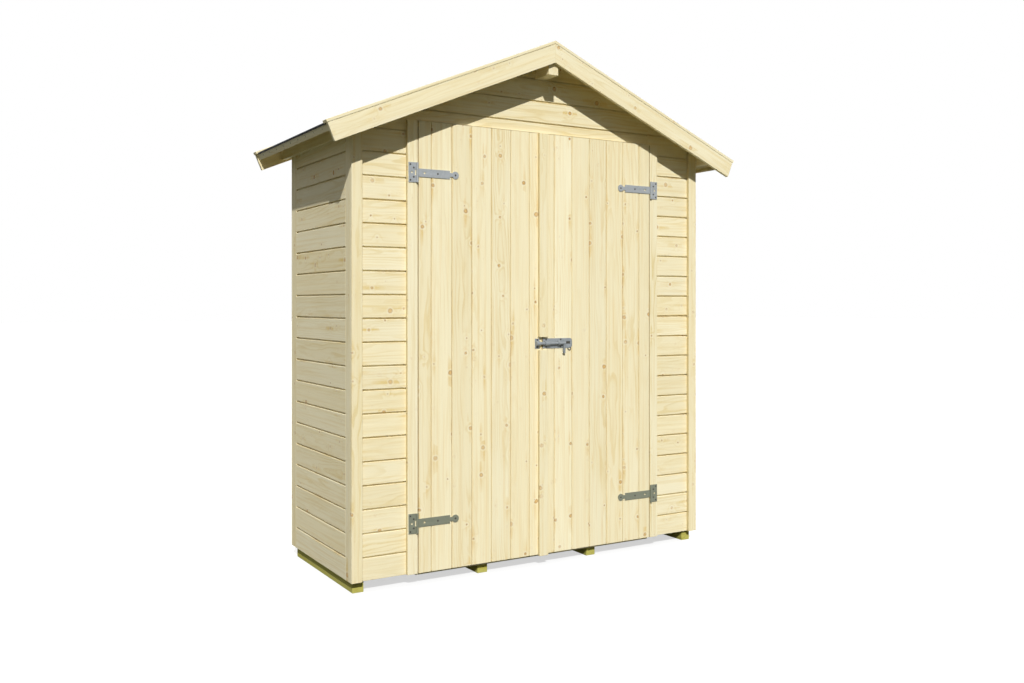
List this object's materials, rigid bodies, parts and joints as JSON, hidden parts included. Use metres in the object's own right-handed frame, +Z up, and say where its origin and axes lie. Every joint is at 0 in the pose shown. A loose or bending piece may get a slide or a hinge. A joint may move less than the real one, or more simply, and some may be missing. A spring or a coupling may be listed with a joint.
{
  "type": "wooden garden shed",
  "caption": "Small timber garden shed with a felt-covered gable roof, ledged double doors on strap hinges, a padbolt and ground bearers.",
  "frame": {"origin": "on the ground under the middle of the shed", "axes": "+Z up, front doors towards -Y, ridge along Y, +X to the right seen from the front"},
  "size_m": [2.0898, 0.96, 2.3029],
  "materials": {
    "spruce": "planed, untreated",
    "treated_timber": "sawn, pressure treated green",
    "felt": "matt bitumen roofing felt",
    "zinc": "galvanised"
  },
  "bodies": {
    "shed": {"bearers": "treated_timber", "floor": "spruce", "threshold": "spruce", "front_posts": "spruce", "back_posts": "spruce", "left_jamb_post": "spruce", "right_jamb_post": "spruce", "door_lintel": "spruce", "left_wall": "spruce", "right_wall": "spruce", "side_wall_rails": "spruce", "front_wall_rails": "spruce", "front_left_panel": "spruce", "front_right_panel": "spruce", "front_gable": "spruce", "back_wall": "spruce", "back_wall_rails": "spruce", "front_corner_trims": "spruce", "jamb_trims": "spruce", "back_corner_trims": "spruce", "ridge_purlin": "spruce", "left_eaves_batten": "spruce", "right_eaves_batten": "spruce", "left_roof_deck": "spruce", "right_roof_deck": "spruce", "left_roof_felt": "felt", "right_roof_felt": "felt", "left_eave_fascia": "spruce", "right_eave_fascia": "spruce", "front_bargeboards": "spruce", "back_bargeboards": "spruce", "front_cap_strips": "spruce", "back_cap_strips": "spruce", "left_hinge_plates": "zinc", "right_hinge_plates": "zinc"},
    "left_door": {"left_door_boards": "spruce", "left_door_ledges": "spruce", "left_hinge_straps": "zinc", "padbolt_keeper": "zinc"},
    "right_door": {"right_door_boards": "spruce", "right_door_ledges": "spruce", "meeting_strip": "spruce", "right_hinge_straps": "zinc", "padbolt_plate": "zinc"},
    "bolt": {"padbolt_bar": "zinc"}
  },
  "joints": [
    {"name": "left_door_hinge", "type": "hinge", "parent": "shed", "child": "left_door", "pos_m": [-0.613, -0.3753, 0.9785], "axis": [0, 0, -1], "range_deg": [0, 120]},
    {"name": "right_door_hinge", "type": "hinge", "parent": "shed", "child": "right_door", "pos_m": [0.613, -0.3753, 0.9785], "axis": [0, 0, 1], "range_deg": [0, 120]},
    {"name": "bolt_slide", "type": "slide", "parent": "right_door", "child": "bolt", "axis": [1, 0, 0], "range_m": [0, 0.043]}
  ]
}
